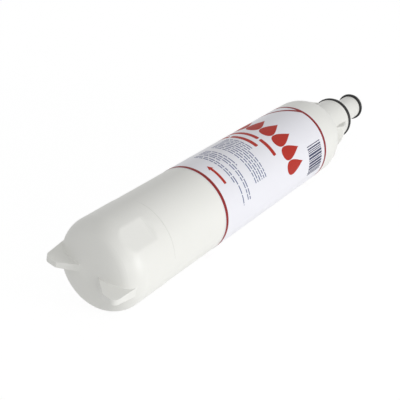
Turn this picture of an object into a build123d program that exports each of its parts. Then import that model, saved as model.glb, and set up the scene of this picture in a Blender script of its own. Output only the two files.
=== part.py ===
from build123d import *
import math
import os

# A bayonet water filter cartridge, lying along X with its closed end at -X and its spigot at +X.
# Lengths are in millimetres. "Along" is the distance from the flat of the closed end, towards the spigot.
# A turn is the angle about the axis from straight up, right-handed about +X, in degrees.

# Barrel, shoulder and label
barrel_radius = 30.0
barrel_wall = 2.8
barrel_length = 208.0
shoulder_radius = 25.0
shoulder_fillet = 5.0
label_glue = 0.05
label_film = 0.09
label_lap = 9.0
label_lap_turn = 215.0
label_from_seam = 55.3
label_to_shoulder = 13.2

# Closed end
cup_step = 0.25
cup_wall = 3.0
cup_length = 43.5
cup_corner_radius = 16.2
end_face_radius = 10.0
end_crease_inset = 6.05
end_crease_curve = 10.0
dish_depth = 1.0
dish_floor_radius = 1.5
dish_radius = 6.5
dish_floor_curve = 8.0
dish_rim_curve = 14.0
tongue_step = 1.25
tongue_length = 9.0
weld_clearance = 0.05
seam_gap = 0.2
seam_bevel = 0.2

# Turning fins on the closed end
fin_count = 2
fin_turn = 104.2
fin_height = 8.6
fin_ramp_angle = 37.0
fin_crest_length = 9.0
fin_crest_curve = 1.5
fin_nose_curve = 4.0
fin_inset = 3.3
fin_edge_draft = 5.0
fin_root_thickness = 8.0
fin_crest_thickness = 3.8
fin_edge_round = 0.3
fin_root_fillet = 0.5
fin_sink = 1.2

# Finger flats in the side of the closed end
flat_count = 2
flat_turn = 41.3
flat_depth = 1.2
flat_ramp_angle = 25.0
flat_edge_curve = 6.0
flat_to_seam = 8.5

# Ribs inside the closed end, which carry the filter element
rib_count = 6
rib_thickness = 2.0
rib_inner_radius = 7.0
rib_outer_radius = 23.0
element_standoff = 1.8

# Spigot, neck and their seals, from the outlet bore outwards
outlet_radius = 6.0
spigot_gland_wall = 2.4
spigot_ring_section = 2.62
spigot_ring_proud = 1.5
spigot_length = 35.0
spigot_ring_to_tip = 5.0
spigot_tip_bevel = 1.0
inlet_gap = 2.2
inlet_slot_margin = 0.6
inlet_slot_count = 4
inlet_slot_arc = 60.0
neck_gland_wall = 2.0
neck_ring_section = 3.53
neck_ring_proud = 0.85
neck_length = 36.28
neck_wall = 3.4
neck_end_wall = 3.0
neck_ring_to_end = 4.5
neck_end_inset = 0.4
neck_end_bevel = 0.8
gland_side_room = 0.35
seal_seat_gap = 0.03

# Bayonet lugs on the neck
lug_count = 2
lug_turn = 78.0
lug_arc = 72.0
lug_height = 4.7
lug_from_shoulder = 7.25
lug_rise = 4.5
lug_crest = 1.5
lug_lead = 14.5
lug_edge_round = 1.0

# Filter element
flow_gap = 3.0
fleece_thickness = 1.2
carbon_bore_radius = 8.0
cap_disc = 2.5
cap_rim_wall = 1.4
cap_rim_depth = 7.5
cap_rim_clearance = 0.1
centring_fin_count = 4
centring_fin_turn = 45.0
centring_fin_width = 2.0
centring_clearance = 0.3
element_headroom = 3.5
nipple_wall = 1.8
nipple_clearance = 0.25
nipple_end_play = 0.5
nipple_hub_length = 14.0
nipple_hub_flare = 3.0
nipple_ring_section = 1.78
nipple_ring_to_end = 6.0
socket_step = 1.5
socket_depth = 24.0
socket_roof = 4.0

# Radii that follow from those sizes
cup_radius = barrel_radius + cup_step
barrel_bore = barrel_radius - barrel_wall
label_radius = barrel_radius + label_glue
end_crease_radius = cup_radius - end_crease_inset
cup_bore = cup_radius - cup_wall
tongue_radius = barrel_radius - tongue_step
cup_socket_radius = tongue_radius + weld_clearance
element_bay = min(barrel_bore, cup_bore)
spigot_gland_floor = outlet_radius + spigot_gland_wall
spigot_radius = spigot_gland_floor + spigot_ring_section - spigot_ring_proud
inlet_radius = spigot_radius + inlet_gap
neck_gland_floor = inlet_radius + neck_gland_wall
neck_radius = neck_gland_floor + neck_ring_section - neck_ring_proud
neck_bore = neck_radius - neck_wall
neck_end_radius = neck_radius - neck_end_inset
lug_radius = neck_radius + lug_height
fleece_radius = element_bay - flow_gap
carbon_radius = fleece_radius - fleece_thickness
cap_bore = fleece_radius + cap_rim_clearance
cap_radius = cap_bore + cap_rim_wall
socket_radius = outlet_radius + socket_step
nipple_radius = socket_radius - nipple_clearance
nipple_gland_floor = socket_radius - nipple_ring_section - 2 * seal_seat_gap
nipple_bore = nipple_gland_floor - nipple_wall

# Places along the axis that follow from those sizes
corner_reach = cup_corner_radius - end_crease_inset
end_crease_along = cup_corner_radius - math.sqrt(cup_corner_radius**2 - corner_reach**2)
socket_floor = cup_length - tongue_length
barrel_start = cup_length + seam_gap
shoulder_start = cup_length + barrel_length
shoulder_centre_radius = barrel_radius - shoulder_radius
neck_start = shoulder_start + math.sqrt(shoulder_radius**2 - (neck_radius - shoulder_centre_radius) ** 2)
neck_end = neck_start + neck_length
neck_ring_along = neck_end - neck_ring_to_end
spigot_tip = neck_end + spigot_length
spigot_ring_along = spigot_tip - spigot_ring_to_tip
neck_groove_start = neck_ring_along - neck_ring_section / 2 - gland_side_room
neck_bore_end = neck_groove_start - neck_gland_wall
lug_start = neck_start + lug_from_shoulder
lug_crest_start = lug_start + lug_rise
lug_crest_end = lug_crest_start + lug_crest
lug_end = lug_crest_end + lug_lead
label_start = cup_length + label_from_seam
label_end = shoulder_start - label_to_shoulder
rib_top = cup_corner_radius + element_standoff
block_start = rib_top + cap_disc
block_end = shoulder_start - element_headroom - cap_disc
socket_stop = neck_end - socket_roof
socket_mouth = socket_stop - socket_depth
nipple_tip = socket_stop - nipple_end_play
nipple_ring_along = nipple_tip - nipple_ring_to_end

# The cartridge lies on its closed end's rim, which is its widest part, and is centred on its length.
axis_height = cup_radius
mid_length = (spigot_tip - fin_height) / 2


def turned(outline, arc=360.0):
    """Spin a closed half section, drawn as (along, radius), about the cartridge's axis."""
    return revolve(Plane.XZ * outline, Axis.X, revolution_arc=arc)


def section(*points):
    """Make a closed half section with straight sides."""
    return make_face(Polyline(*points, close=True).edges())


def tube(start, end, inner, outer):
    """Make a straight ring between two radii, or a plain rod where the inner radius is zero."""
    return turned(section((start, inner), (end, inner), (end, outer), (start, outer)))


def corner(outline, point):
    """Find the corner of a half section that lies at a point."""
    return outline.vertices().sort_by_distance(point)[0]


def off_axis(edge):
    """Measure how far the middle of an edge lies from the cartridge's axis."""
    middle = edge.position_at(0.5)
    return math.hypot(middle.Y, middle.Z)


def around(shape, count, first_turn):
    """Repeat a shape evenly about the axis. The shape is drawn straight above the axis."""
    return [Rot(X=first_turn + 360.0 * step / count) * shape for step in range(count)]


def seal_ring(along, gland_floor, ring_section):
    """Make an O-ring that sits just clear of the floor of its groove."""
    middle = gland_floor + seal_seat_gap + ring_section / 2
    return turned(Pos(along, middle) * Circle(ring_section / 2))


def gland(along, gland_floor, outer, ring_section):
    """Make the ring of material that comes away to leave an O-ring's groove."""
    half = ring_section / 2 + gland_side_room
    return tube(along - half, along + half, gland_floor, outer)


def shoulder_section(start, arc_radius, barrel, neck, neck_reach):
    """Make a solid half section of a barrel that rounds over into a neck."""
    centre_radius = barrel - arc_radius
    foot_angle = math.degrees(math.asin((neck - centre_radius) / arc_radius))
    foot_along = shoulder_start + arc_radius * math.cos(math.radians(foot_angle))
    dome = CenterArc((shoulder_start, centre_radius), arc_radius, foot_angle, 90.0 - foot_angle)
    sides = Polyline((foot_along, neck), (neck_reach, neck), (neck_reach, 0), (start, 0), (start, barrel),
                     (shoulder_start, barrel))
    outline = make_face(dome.edges() + sides.edges())
    return fillet(corner(outline, (foot_along, neck)), shoulder_fillet)


def bayonet_lugs():
    """Make the lugs that turn under the filter head's ledges. The side that enters first is a long slope."""
    foot = neck_radius - lug_edge_round
    outline = section((lug_start, foot), (lug_crest_start, lug_radius), (lug_crest_end, lug_radius),
                      (lug_end, foot))
    lug = turned(outline, lug_arc)
    crest_edges = [edge for edge in lug.edges() if off_axis(edge) > neck_radius]
    return around(fillet(crest_edges, lug_edge_round), lug_count, lug_turn)


def make_barrel_body():
    """Barrel, shoulder, neck, lugs and spigot in one moulding, with the seal grooves and the water ways."""
    shell = turned(shoulder_section(barrel_start, shoulder_radius, barrel_radius, neck_radius, neck_end))
    shell += tube(socket_floor, barrel_start, 0, tongue_radius)
    shell -= turned(section((neck_ring_along, neck_end_radius), (neck_end - neck_end_bevel, neck_end_radius),
                            (neck_end, neck_end_radius - neck_end_bevel), (neck_end, neck_radius),
                            (neck_ring_along, neck_radius)))
    shell -= gland(neck_ring_along, neck_gland_floor, neck_radius, neck_ring_section)
    shell += bayonet_lugs()

    cavity = turned(shoulder_section(socket_floor, shoulder_radius - barrel_wall, barrel_bore, neck_bore,
                                     neck_bore_end))
    cavity += tube(neck_bore_end, neck_end - neck_end_wall, 0, inlet_radius)
    sleeve = tube(socket_mouth, neck_end, 0, spigot_radius)
    shell -= cavity - sleeve

    spigot = section((neck_end - neck_end_wall, 0), (neck_end - neck_end_wall, spigot_radius),
                     (spigot_tip, spigot_radius), (spigot_tip, 0))
    spigot = turned(chamfer(corner(spigot, (spigot_tip, spigot_radius)), spigot_tip_bevel))
    spigot -= gland(spigot_ring_along, spigot_gland_floor, spigot_radius, spigot_ring_section)
    shell += spigot
    shell -= tube(socket_mouth, socket_stop, 0, socket_radius)
    shell -= tube(socket_stop, spigot_tip, 0, outlet_radius)

    slot = turned(section((neck_end - neck_end_wall, spigot_radius + inlet_slot_margin),
                          (neck_end, spigot_radius + inlet_slot_margin), (neck_end, inlet_radius),
                          (neck_end - neck_end_wall, inlet_radius)), inlet_slot_arc)
    shell -= around(slot, inlet_slot_count, 0.0)
    return shell


def turning_fin():
    """Make one fin, straight above the axis: a ramp up from the end's flat, a crest and a rounded nose."""
    nose = cup_radius - fin_inset
    crest_start = nose - fin_crest_length
    foot = crest_start - (fin_height + fin_sink) / math.tan(math.radians(fin_ramp_angle))
    root_along = cup_corner_radius
    root = nose + (root_along + fin_height) * math.tan(math.radians(fin_edge_draft))
    side = FilletPolyline((root_along, foot), (fin_sink, foot), (-fin_height, crest_start),
                          (-fin_height, nose), (root_along, root),
                          radius=[0, 0, fin_crest_curve, fin_nose_curve, 0], close=True)
    blade = extrude(Plane.XZ * make_face(side.edges()), fin_root_thickness, both=True)
    draft = section((-fin_height, -fin_crest_thickness / 2), (root_along, -fin_root_thickness / 2),
                    (root_along, fin_root_thickness / 2), (-fin_height, fin_crest_thickness / 2))
    fin = blade & extrude(draft, cup_radius)
    flanks = fin.faces().sort_by(Axis.Y)
    rim = [edge for flank in (flanks[0], flanks[-1]) for edge in flank.edges()
           if edge.center().X < 0 or edge.center().Z > crest_start]
    return fillet(rim, fin_edge_round)


def finger_flat():
    """Make the wedge that comes away for one finger flat. It runs out through the rounded corner."""
    ramp = flat_depth / math.tan(math.radians(flat_ramp_angle))
    end = cup_length - flat_to_seam
    floor = cup_radius - flat_depth
    above = cup_radius + flat_depth
    side = section((-fin_height, floor), (end - ramp, floor), (end + ramp, above), (-fin_height, above))
    return extrude(Plane.XZ * side, cup_radius, both=True)


def cup_section():
    """Make the closed end's solid half section: a dish, a low dome, a soft crease and a round corner."""
    face_rim = (0, end_face_radius)
    crease = (end_crease_along, end_crease_radius)
    corner_end = (cup_corner_radius, cup_radius)
    dome = TangentArc(face_rim, crease, tangent=(0, 1))
    round_corner = TangentArc(corner_end, crease, tangent=(-1, 0))
    sides = Polyline(corner_end, (cup_length, cup_radius), (cup_length, 0), (dish_depth, 0),
                     (dish_depth, dish_floor_radius), (0, dish_radius), face_rim)
    outline = make_face(dome.edges() + round_corner.edges() + sides.edges())
    outline = fillet(corner(outline, crease), end_crease_curve)
    outline = fillet(corner(outline, (0, dish_radius)), dish_rim_curve)
    outline = fillet(corner(outline, (dish_depth, dish_floor_radius)), dish_floor_curve)
    return chamfer(corner(outline, (cup_length, cup_radius)), seam_bevel)


def cup_hollow(wall):
    """Make the closed end's hollow, as it would be with a wall of a given thickness."""
    radius = cup_radius - wall
    outline = section((wall, 0), (wall, radius), (cup_length, radius), (cup_length, 0))
    return turned(fillet(corner(outline, (wall, radius)), cup_corner_radius - wall))


def make_bottom_cup():
    """The closed end: a rounded cup, fins and finger flats outside, ribs and the weld socket inside."""
    envelope = turned(cup_section())
    fins = around(turning_fin(), fin_count, fin_turn)
    cup = envelope + fins
    cup = fillet(new_edges(envelope, *fins, combined=cup), fin_root_fillet)
    flats = around(finger_flat(), flat_count, flat_turn)
    flattened = cup - flats
    cup = fillet(new_edges(cup, *flats, combined=flattened), flat_edge_curve)
    cup -= cup_hollow(cup_wall)
    cup -= tube(socket_floor, cup_length, 0, cup_socket_radius)
    rib_length = rib_outer_radius - rib_inner_radius
    rib = Pos(rib_top / 2, 0, rib_inner_radius + rib_length / 2) * Box(rib_top, rib_thickness, rib_length)
    rib_bed = cup_hollow(cup_wall / 2)
    return cup + [each & rib_bed for each in around(rib, rib_count, 0.0)]


def make_label():
    """The wrapped film, one layer all round and a second where its ends lap."""
    film = tube(label_start, label_end, label_radius, label_radius + label_film)
    lap_arc = math.degrees(label_lap / label_radius)
    lap_radius = label_radius + 2 * label_film
    lap = turned(section((label_start, label_radius), (label_end, label_radius), (label_end, lap_radius),
                         (label_start, lap_radius)), lap_arc)
    return film + around(lap, 1, label_lap_turn)


def centring_fins(start, end):
    """Make the small fins that keep an element cap in the middle of the barrel."""
    reach = element_bay - centring_clearance - cap_bore
    fin = Pos((start + end) / 2, 0, cap_bore + reach / 2) * Box(end - start, centring_fin_width, reach)
    return around(fin, centring_fin_count, centring_fin_turn)


def make_element_bottom_cap():
    """The closed cap under the carbon block."""
    cap = tube(rib_top, block_start, 0, cap_radius)
    cap += tube(block_start, block_start + cap_rim_depth, cap_bore, cap_radius)
    return cap + centring_fins(rib_top, block_start + cap_rim_depth)


def make_element_top_cap():
    """The cap over the carbon block, with the nipple that carries clean water to the spigot."""
    disc_top = block_end + cap_disc
    cap = tube(block_end, disc_top, 0, cap_radius)
    cap += tube(block_end - cap_rim_depth, block_end, cap_bore, cap_radius)
    cap += centring_fins(block_end - cap_rim_depth, disc_top)
    cap += turned(section((disc_top, 0), (disc_top, nipple_radius + nipple_hub_flare),
                          (disc_top + nipple_hub_length, nipple_radius), (nipple_tip, nipple_radius),
                          (nipple_tip, 0)))
    cap -= gland(nipple_ring_along, nipple_gland_floor, nipple_radius, nipple_ring_section)
    return cap - tube(block_end, nipple_tip, 0, nipple_bore)


nodes = {
    "barrel_body": make_barrel_body(),
    "bottom_cup": make_bottom_cup(),
    "neck_o_ring": seal_ring(neck_ring_along, neck_gland_floor, neck_ring_section),
    "spigot_o_ring": seal_ring(spigot_ring_along, spigot_gland_floor, spigot_ring_section),
    "label": make_label(),
    "carbon_block": tube(block_start, block_end, carbon_bore_radius, carbon_radius),
    "prefilter_fleece": tube(block_start, block_end, carbon_radius, fleece_radius),
    "element_bottom_cap": make_element_bottom_cap(),
    "element_top_cap": make_element_top_cap(),
    "element_o_ring": seal_ring(nipple_ring_along, nipple_gland_floor, nipple_ring_section),
}

os.makedirs("parts", exist_ok=True)
for name, shape in nodes.items():
    placed = Pos(-mid_length, 0, axis_height) * shape
    export_step(placed, f"parts/{name}.step")
    print(name, [round(size, 2) for size in placed.bounding_box().size])
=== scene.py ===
# %% [markdown]
# # Dressing a water filter cartridge
# The cartridge's solids come from CAD and are already in place, so this script never moves them. It gives
# each surface its material, prints the label, and sets up a camera and a plain white studio.

# %% Load the frame
import math
import random

import bmesh
import bpy
from mathutils import Matrix, Vector


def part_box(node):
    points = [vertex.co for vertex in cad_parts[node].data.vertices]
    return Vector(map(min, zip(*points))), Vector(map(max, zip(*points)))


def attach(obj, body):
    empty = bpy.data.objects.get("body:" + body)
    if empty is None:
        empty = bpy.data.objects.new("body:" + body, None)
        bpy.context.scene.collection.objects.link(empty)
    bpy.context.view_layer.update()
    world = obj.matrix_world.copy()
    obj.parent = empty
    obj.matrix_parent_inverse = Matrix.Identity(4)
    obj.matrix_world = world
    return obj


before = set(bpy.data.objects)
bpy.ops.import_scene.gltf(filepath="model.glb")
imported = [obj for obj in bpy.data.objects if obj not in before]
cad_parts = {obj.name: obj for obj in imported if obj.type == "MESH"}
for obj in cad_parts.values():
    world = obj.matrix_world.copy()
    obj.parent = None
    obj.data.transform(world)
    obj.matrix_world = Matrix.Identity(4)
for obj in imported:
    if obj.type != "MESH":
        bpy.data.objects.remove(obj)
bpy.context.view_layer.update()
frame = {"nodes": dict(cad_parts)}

MM = 0.001
nodes = frame["nodes"]
print("CAD nodes:", ", ".join(nodes))

# %% [markdown]
# ## The camera
# The camera looks down on the closed end from one side, through a short telephoto lens. Its place could be
# typed in as x, y and z, but it is easier to judge in the camera's own directions: so far right, up and back
# from a point that it looks towards. Its rotation matrix turns those three numbers into a place in the scene.

# %% Camera
look_at = Vector((-68.016, 0.0, 30.25)) * MM
right_up_back = Vector((7.154, 6.418, 574.42)) * MM
camera_turn = math.radians(-55.1094)
camera_tilt = math.radians(26.3825)

camera_data = bpy.data.cameras.new("studio_camera")
camera_data.sensor_width = 36.0
camera_data.lens = 77.93
camera = bpy.data.objects.new("studio_camera", camera_data)
camera.rotation_euler = (math.pi / 2 - camera_tilt, 0.0, camera_turn)
camera.location = look_at + camera.rotation_euler.to_matrix() @ right_up_back
bpy.context.scene.collection.objects.link(camera)
bpy.context.scene.camera = camera
print("camera at, in mm:", [round(part / MM, 1) for part in camera.location])

# %% [markdown]
# ## Colours and nodes
# A colour picked on a screen is an sRGB value, but a shader works with linear light, so every hex colour
# goes through one conversion. One small function adds any node, fills its settings and joins its inputs.

# %% Colour and node helpers
def linear(hex_colour):
    """Turn an sRGB hex colour into the linear colour that a shader socket takes."""
    parts = [int(hex_colour[place:place + 2], 16) / 255 for place in (0, 2, 4)]
    return tuple(p / 12.92 if p <= 0.04045 else ((p + 0.055) / 1.055) ** 2.4 for p in parts) + (1.0,)


def add_node(tree, kind, settings, inputs):
    """Add a node. An input takes a plain value, or a socket of another node to link from."""
    node = tree.nodes.new(kind)
    for name, value in settings.items():
        setattr(node, name, value)
    for name, value in inputs.items():
        if isinstance(value, bpy.types.NodeSocket):
            tree.links.new(value, node.inputs[name])
        else:
            node.inputs[name].default_value = value
    return node


def start_material(name, **sockets):
    """Make a material with a Principled shader, and set the sockets that are the same all over it."""
    material = bpy.data.materials.new(name)
    material.use_nodes = True
    shader = material.node_tree.nodes["Principled BSDF"]
    for socket, value in sockets.items():
        shader.inputs[socket.replace("_", " ")].default_value = value
    return material, material.node_tree, shader


def per(millimetres):
    """The texture scale that makes a pattern's features about this many millimetres across."""
    return 1.0 / (millimetres * MM)


print("white polypropylene in linear light:", [round(part, 3) for part in linear("E8E8E2")[:3]])

# %% [markdown]
# ## A surface from three noises
# A single flat colour looks like a drawing. Most finishes here differ from one in the same three ways: the
# colour drifts between two shades, the sheen is uneven, and there is a fine relief. One function builds those
# three noises from their sizes in millimetres, and each material gives it its own colours and sizes. The
# noises read Object coordinates, so they stay on the part.

# %% Surface helper
def add_surface(tree, shader, shades, shade_mm, roughness, sheen_mm, relief_mm, relief_depth_mm):
    """Drive a shader's colour, roughness and bump from three noises of the given sizes."""
    place = add_node(tree, "ShaderNodeTexCoord", {}, {}).outputs["Object"]
    drift = add_node(tree, "ShaderNodeTexNoise", {},
                     {"Vector": place, "Scale": per(shade_mm), "Detail": 3.0})
    colour = add_node(tree, "ShaderNodeMix", {"data_type": "RGBA"},
                      {"Factor": drift.outputs["Fac"], "A": linear(shades[0]), "B": linear(shades[1])})
    sheen = add_node(tree, "ShaderNodeTexNoise", {},
                     {"Vector": place, "Scale": per(sheen_mm), "Detail": 4.0})
    gloss = add_node(tree, "ShaderNodeMapRange", {},
                     {"Value": sheen.outputs["Fac"], "To Min": roughness[0], "To Max": roughness[1]})
    relief = add_node(tree, "ShaderNodeTexNoise", {},
                      {"Vector": place, "Scale": per(relief_mm), "Detail": 2.0})
    bump = add_node(tree, "ShaderNodeBump", {},
                    {"Height": relief.outputs["Fac"], "Distance": relief_depth_mm * MM})
    for socket, source in (("Base Color", colour.outputs["Result"]), ("Roughness", gloss.outputs["Result"]),
                           ("Normal", bump.outputs["Normal"])):
        tree.links.new(source, shader.inputs[socket])


# %% [markdown]
# ## Moulded polypropylene
# The barrel and the closed end are injection moulded in white polypropylene. It is satin, a little warm, and
# slightly cloudy, with a fine grain from the mould. Light does sink a little way into such plastic, but the
# wall is thick and full of white pigment, so a plain opaque shader gives the same look.

# %% Housing material
housing, tree, shader = start_material("moulded_polypropylene", IOR=1.49)
add_surface(tree, shader, shades=("E6E6E1", "EAEAE6"), shade_mm=32, roughness=(0.36, 0.48), sheen_mm=6,
            relief_mm=0.7, relief_depth_mm=0.004)
for name in ("barrel_body", "bottom_cup"):
    nodes[name].data.materials[0] = housing
print("housing material on the barrel and the closed end")

# %% [markdown]
# ## Nitrile rubber
# The O-rings are moulded in black nitrile rubber: nearly black, half dull, with a faint grey bloom in
# patches. Pure black would lose their round shape, so the darkest shade is still a dark grey.

# %% Seal material
rubber, tree, shader = start_material("nitrile_rubber", IOR=1.52, Specular_IOR_Level=0.35)
add_surface(tree, shader, shades=("131314", "252526"), shade_mm=2.5, roughness=(0.36, 0.52), sheen_mm=1.5,
            relief_mm=0.3, relief_depth_mm=0.004)
for name in ("neck_o_ring", "spigot_o_ring", "element_o_ring"):
    nodes[name].data.materials[0] = rubber
print("rubber on three O-rings")

# %% [markdown]
# ## The filter element
# The element is sealed inside, so it shows only where the part is cut open or taken apart. The block is
# carbon grit pressed and sintered, black and gritty. The fleece round it is soft spun fibre. The caps are
# natural polypropylene, with no pigment, so they are greyer and more waxy than the housing.

# %% Element materials
carbon, tree, shader = start_material("pressed_carbon", IOR=1.6)
add_surface(tree, shader, shades=("101010", "303031"), shade_mm=0.6, roughness=(0.75, 0.95), sheen_mm=1.2,
            relief_mm=0.5, relief_depth_mm=0.15)
fleece, tree, shader = start_material("spun_polypropylene_fleece", IOR=1.49, Sheen_Weight=0.3)
add_surface(tree, shader, shades=("D8D8D4", "F0F0EC"), shade_mm=0.9, roughness=(0.9, 1.0), sheen_mm=3,
            relief_mm=0.4, relief_depth_mm=0.12)
natural, tree, shader = start_material("natural_polypropylene", IOR=1.49)
add_surface(tree, shader, shades=("D3D2C9", "DEDDD6"), shade_mm=14, roughness=(0.38, 0.5), sheen_mm=5,
            relief_mm=0.7, relief_depth_mm=0.004)
for name, material in (("carbon_block", carbon), ("prefilter_fleece", fleece),
                       ("element_bottom_cap", natural), ("element_top_cap", natural)):
    nodes[name].data.materials[0] = material
print("materials on the filter element's four parts")

# %% [markdown]
# ## Label film
# The label is a thin white polypropylene film, cooler and a little glossier than the housing. A wrapped film
# is never quite flat, so its relief is a long shallow ripple instead of a grain.

# %% Film material
film, tree, shader = start_material("white_polypropylene_film", IOR=1.49)
add_surface(tree, shader, shades=("E6E6EC", "EAEAF0"), shade_mm=40, roughness=(0.3, 0.38), sheen_mm=8,
            relief_mm=16, relief_depth_mm=0.05)
nodes["label"].data.materials[0] = film
print("film on the label")

# %% [markdown]
# ## Printing inks
# Four inks are printed on the film: a bright red, a dark red for the lines, a blue for the finest marks and a
# slate. Ink soaks into the film's coating, so it shines much less than the film. It lies slightly thicker in
# some spots than in others, so its shade varies in small flecks.

# %% Ink materials
inks = {}
for name, shades in (("red", ("A8251A", "B52E20")), ("dark_red", ("841A1B", "912425")),
                     ("blue", ("3C4878", "4A5688")), ("slate", ("363A56", "444866"))):
    inks[name], tree, shader = start_material(name + "_printing_ink", IOR=1.5, Specular_IOR_Level=0.2)
    add_surface(tree, shader, shades=shades, shade_mm=1.2, roughness=(0.45, 0.55), sheen_mm=3,
                relief_mm=0.6, relief_depth_mm=0.002)
print("inks mixed:", ", ".join(inks))

# %% [markdown]
# ## From a flat sheet to the barrel
# The print could be a pattern in the film's material, but as thin geometry its edges stay crisp from close
# by. The real film is printed flat and then wrapped round the barrel, and the print here is made in the same
# way. Each design is a flat bmesh in millimetres: x is the distance from the film's edge at the closed end,
# and y runs along the film. A bar is then just a stretched square. A face needs vertices along it before it
# can bend, so the print is cut into narrow strips and given the ink's thickness, and then each vertex moves
# to its place on the cylinder.
#
# A turn is an angle in degrees round the barrel from straight up, towards the side that the camera sees. The
# film's ends lap on the far side. Between lap_start and lap_end the film lies on its own other end, so the
# print there is one film thickness, lap_step, further out.

# %% Film sizes
film_low, film_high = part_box("label")
film_start = film_low.x / MM
film_length = (film_high.x - film_low.x) / MM
film_radius = (film_high.y - film_low.y) / 2 / MM
axis_height = (film_high.z + film_low.z) / 2 / MM
lap_start = -145.0
lap_end = -127.8
lap_step = 0.09
print("film: %.1f mm long, radius %.2f mm" % (film_length, film_radius))


# %% Wrapping helpers
ink_bite = 0.03
ink_thickness = 0.06
strip_width = 2.0
crisp_angle = math.radians(30)


def along_film(turn):
    """The distance along the film, in millimetres, of a turn in degrees."""
    return math.radians(turn) * film_radius


def lay_bar(sheet, x_from, x_to, turn_from, turn_to, corner=0.0):
    """Lay a bar on a flat print, with round corners if asked for. Return its first vertices."""
    middle = Vector(((x_from + x_to) / 2, along_film((turn_from + turn_to) / 2), 0.0))
    size = Vector((x_to - x_from, along_film(turn_to - turn_from), 1.0))
    made = bmesh.ops.create_grid(sheet, x_segments=1, y_segments=1, size=0.5,
                                 matrix=Matrix.LocRotScale(middle, None, size))
    if corner:
        bmesh.ops.bevel(sheet, geom=made["verts"], offset=corner, segments=3, profile=0.5,
                        affect="VERTICES", material=-1)
    return made["verts"]


def cut_across(sheet, y, keep_above=False):
    """Cut a flat print straight across at one place, and drop what lies below if asked to."""
    bmesh.ops.bisect_plane(sheet, geom=sheet.verts[:] + sheet.edges[:] + sheet.faces[:],
                           plane_co=(0, y, 0), plane_no=(0, 1, 0), clear_inner=keep_above)


def wrap_print(name, sheet, ink):
    """Cut a flat print into strips, thicken it, wrap it round the film and make it an object."""
    ends = [vert.co.y for vert in sheet.verts]
    for step in range(math.ceil(min(ends) / strip_width), math.floor(max(ends) / strip_width) + 1):
        cut_across(sheet, step * strip_width)
    cut_across(sheet, along_film(lap_end))
    cut_across(sheet, along_film(lap_end) + lap_step)
    bmesh.ops.solidify(sheet, geom=sheet.faces[:], thickness=ink_thickness)
    lowest = min(vert.co.z for vert in sheet.verts)
    for vert in sheet.verts:
        turn = vert.co.y / film_radius
        radius = film_radius - ink_bite + vert.co.z - lowest
        if vert.co.y < along_film(lap_end) + lap_step / 2:
            radius += lap_step
        vert.co = Vector((film_start + vert.co.x, -radius * math.sin(turn),
                          axis_height + radius * math.cos(turn))) * MM
    bmesh.ops.recalc_face_normals(sheet, faces=sheet.faces[:])
    for face in sheet.faces:
        face.smooth = True
    for edge in sheet.edges:
        edge.smooth = edge.calc_face_angle(0.0) < crisp_angle
    mesh = bpy.data.meshes.new(name)
    sheet.to_mesh(mesh)
    sheet.free()
    mesh.materials.append(ink)
    piece = bpy.data.objects.new(name, mesh)
    bpy.context.scene.collection.objects.link(piece)
    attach(piece, "root")
    print(name, "has", len(mesh.polygons), "faces")


# %% [markdown]
# ## Rings and the slanted line
# A red ring is printed along each edge of the film. They are bars that run the whole way round, from the
# film's outer end and back to it. A slanted line leaves the upper ring. It could be a spiral curve, but on
# the flat sheet it is only a bar turned a little, and two cuts trim it where it meets the ring and the film's
# end.

# %% Red rings
full_turn = 360.0
ring_width = 2.6
lower_ring = 0.4
upper_margin = 0.9
upper_ring = film_length - upper_margin - ring_width
sheet = bmesh.new()
for x in (lower_ring, upper_ring):
    lay_bar(sheet, x, x + ring_width, lap_start, lap_start + full_turn)
wrap_print("label_rings", sheet, inks["dark_red"])

# %% Slanted line
line_start_turn = 16.7
line_fall = 0.372
line_width = 2.7
line_overrun = 1.1
line_arc = line_start_turn - lap_start
line_foot = Vector((upper_ring + ring_width / 2, along_film(line_start_turn), 0.0))
line_run = Vector((line_fall * line_arc, along_film(line_arc), 0.0))
lean = Matrix.Rotation(-math.atan2(line_run.x, line_run.y), 3, "Z").to_quaternion()
stretch = Vector((line_width, line_run.length * line_overrun, 1.0))
sheet = bmesh.new()
bmesh.ops.create_grid(sheet, x_segments=1, y_segments=1, size=0.5,
                      matrix=Matrix.LocRotScale(line_foot - line_run / 2, lean, stretch))
cut_across(sheet, along_film(lap_start), keep_above=True)
bmesh.ops.bisect_plane(sheet, geom=sheet.verts[:] + sheet.edges[:] + sheet.faces[:],
                       plane_co=(upper_ring, 0, 0), plane_no=(1, 0, 0), clear_outer=True)
wrap_print("label_slanted_line", sheet, inks["dark_red"])

# %% [markdown]
# ## Turning arrow
# A plain red arrow shows which way the cartridge turns to lock. It is a bar with a triangle. The triangle
# could be three new vertices, but a wider bar with one end merged to a point needs only the same helper.

# %% Arrow
arrow_x = 11.9
arrow_tip = 13.0
arrow_neck = 20.0
arrow_tail = 46.0
arrow_width = 2.4
arrow_head_width = 4.8
sheet = bmesh.new()
lay_bar(sheet, arrow_x - arrow_width / 2, arrow_x + arrow_width / 2, arrow_neck, arrow_tail)
head = lay_bar(sheet, arrow_x - arrow_head_width / 2, arrow_x + arrow_head_width / 2, arrow_tip, arrow_neck)
tip = [vert for vert in head if vert.co.y < along_film((arrow_tip + arrow_neck) / 2)]
bmesh.ops.pointmerge(sheet, verts=tip, merge_co=Vector((arrow_x, along_film(arrow_tip), 0.0)))
wrap_print("label_turning_arrow", sheet, inks["red"])

# %% [markdown]
# ## Water drops
# The label's main band is a row of plain red drops. A drop could be drawn with a curve, but a circle is
# enough: its width is drawn in towards one end, and then it is stretched to its length and width.

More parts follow.
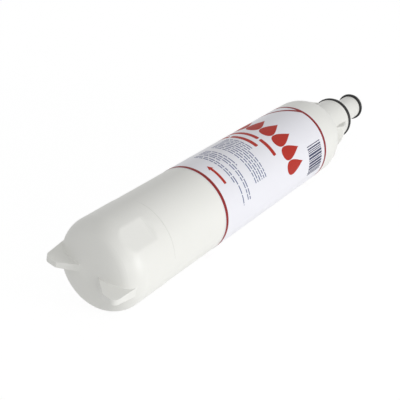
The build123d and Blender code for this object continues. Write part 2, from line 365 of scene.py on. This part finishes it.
# %% Drops
drop_count = 7
drop_pitch = 21.0
drop_length = 22.0
drop_width = 10.6
drop_taper = 0.75
drop_points = 48
drop_x = 91.8
first_drop = -49.0
sheet = bmesh.new()
for count in range(drop_count):
    outline = bmesh.ops.create_circle(sheet, cap_ends=True, segments=drop_points, radius=1.0)["verts"]
    for vert in outline:
        vert.co.y *= ((1.0 - vert.co.x) / 2) ** drop_taper
    widest = max(vert.co.y for vert in outline)
    bmesh.ops.scale(sheet, verts=outline, vec=(drop_length / 2, drop_width / 2 / widest, 1.0))
    drop_turn = first_drop + count * drop_pitch
    bmesh.ops.translate(sheet, verts=outline, vec=(drop_x, along_film(drop_turn), 0.0))
wrap_print("label_drops", sheet, inks["red"])

# %% [markdown]
# ## Bars under the drops
# Two rows of short red bars stand under the drops. Their corners are rounded by a bevel, which works on the
# vertices of a flat face as well as on the edges of a solid.

# %% Red bars
red_rows = ((72.9, ((-40.0, 16.8), (19.5, 49.8))), (64.3, ((-58.0, -19.0), (-16.0, 26.0))))
bar_height = 3.6
bar_corner = 0.9
sheet = bmesh.new()
for x, spans in red_rows:
    for turn_from, turn_to in spans:
        lay_bar(sheet, x - bar_height / 2, x + bar_height / 2, turn_from, turn_to, corner=bar_corner)
wrap_print("label_red_bars", sheet, inks["red"])

# %% [markdown]
# ## Fine print
# The finest print on the label is rows of short blue dashes with gaps between them. The first rows end at
# different places, and below them stands an even block whose last rows are shorter. A random generator picks
# the dashes' lengths, and its seed makes them the same on every run.

# %% Fine print
fine_height = 0.85
fine_gap = 1.6
fine_start = -17.0
fine_rows = [(19.85, 50.7), (22.1, 83.7), (25.4, 15.8), (27.65, 80.0), (30.05, 81.0), (32.9, 34.0)]
even_start = 40.4
even_pitch = 2.57
even_ends = [67.0] * 6 + [25.0] * 2
fine_rows += [(even_start + even_pitch * row, row_end) for row, row_end in enumerate(even_ends)]
dash_shortest = 4.0
dash_longest = 13.0
print_seed = 4
draw = random.Random(print_seed)
sheet = bmesh.new()
for x, row_end in fine_rows:
    turn = fine_start
    while turn < row_end:
        dash_end = min(turn + draw.uniform(dash_shortest, dash_longest), row_end)
        lay_bar(sheet, x - fine_height / 2, x + fine_height / 2, turn, dash_end)
        turn = dash_end + fine_gap
wrap_print("label_fine_print", sheet, inks["blue"])

# %% [markdown]
# ## Block of bars
# A block of slate bars fills the corner near the upper ring. The same random generator mixes their widths and
# gaps, which are turns in degrees, and a width that is listed twice is picked more often.

# %% Bar block
block_x = (112.1, 131.3)
block_turns = (64.4, 110.0)
slat_widths = (1.3, 1.3, 2.2, 3.2)
slat_gaps = (1.3, 1.3, 2.0)
sheet = bmesh.new()
turn = block_turns[0]
while turn < block_turns[1]:
    width = draw.choice(slat_widths)
    lay_bar(sheet, block_x[0], block_x[1], turn, turn + width)
    turn += width + draw.choice(slat_gaps)
wrap_print("label_bar_block", sheet, inks["slate"])

# %% [markdown]
# ## The studio
# The cartridge lies on white paper in soft light. A white surface only looks white if it is lit fully, and
# that much light would burn out the white plastic. So the floor and the world are brighter to the camera, and
# in reflections, than they are as light sources. The Light Path node tells those rays apart.

# %% Floor
def seen_by_eye(tree):
    """A socket that is 1 for rays from the camera, or by way of a mirror or glass, and 0 for the rest."""
    rays = add_node(tree, "ShaderNodeLightPath", {}, {}).outputs
    direct = add_node(tree, "ShaderNodeMath", {"operation": "MAXIMUM"},
                      {0: rays["Is Camera Ray"], 1: rays["Is Glossy Ray"]})
    return add_node(tree, "ShaderNodeMath", {"operation": "MAXIMUM"},
                    {0: direct.outputs["Value"], 1: rays["Is Transmission Ray"]}).outputs["Value"]


floor_reach = 4.0
floor_mesh = bmesh.new()
bmesh.ops.create_grid(floor_mesh, x_segments=1, y_segments=1, size=floor_reach)
floor_data = bpy.data.meshes.new("studio_floor")
floor_mesh.to_mesh(floor_data)
floor_mesh.free()
floor = bpy.data.objects.new("studio_floor", floor_data)
bpy.context.scene.collection.objects.link(floor)

glow_share = 0.85
glow_strength = 1.08
paper, tree, shader = start_material("white_paper", Base_Color=linear("F4F4F4"), Roughness=0.9)
floor_data.materials.append(paper)
share = add_node(tree, "ShaderNodeMath", {"operation": "MULTIPLY"}, {0: seen_by_eye(tree), 1: glow_share})
glow = add_node(tree, "ShaderNodeEmission", {}, {"Color": (1, 1, 1, 1), "Strength": glow_strength})
mixed = add_node(tree, "ShaderNodeMixShader", {},
                 {0: share.outputs["Value"], 1: shader.outputs["BSDF"], 2: glow.outputs["Emission"]})
tree.links.new(mixed.outputs["Shader"], tree.nodes["Material Output"].inputs["Surface"])
print("white floor, reaching", floor_reach, "m each way")

# %% World
world_light = 0.57
world = bpy.data.worlds.new("studio_world")
bpy.context.scene.world = world
world.use_nodes = True
tree = world.node_tree
level = add_node(tree, "ShaderNodeMapRange", {},
                 {"Value": seen_by_eye(tree), "To Min": world_light, "To Max": 1.0})
sky = tree.nodes["Background"]
sky.inputs["Color"].default_value = (1, 1, 1, 1)
tree.links.new(level.outputs["Result"], sky.inputs["Strength"])
print("white world, which lights at", world_light)


# %% [markdown]
# ## Lamps
# The world's even light alone would leave the barrel flat. Two square lamps stand low on the camera's side: a
# key beside the cartridge, which draws the round of the barrel, and a weaker fill towards the closed end.

# %% Lamps
def soft_box(name, place_mm, size, watts):
    """Hang a square lamp at a place, facing the cartridge."""
    data = bpy.data.lights.new(name, "AREA")
    data.size = size
    data.energy = watts
    lamp = bpy.data.objects.new(name, data)
    lamp.location = Vector(place_mm) * MM
    lamp.rotation_euler = (look_at - lamp.location).to_track_quat("-Z", "Y").to_euler()
    bpy.context.scene.collection.objects.link(lamp)
    print(name, "lamp of", watts, "W")


soft_box("key", place_mm=(20, -800, 110), size=0.2, watts=2.5)
soft_box("fill", place_mm=(-600, -650, 110), size=0.2, watts=0.76)
bpy.context.scene.view_settings.view_transform = "Standard"
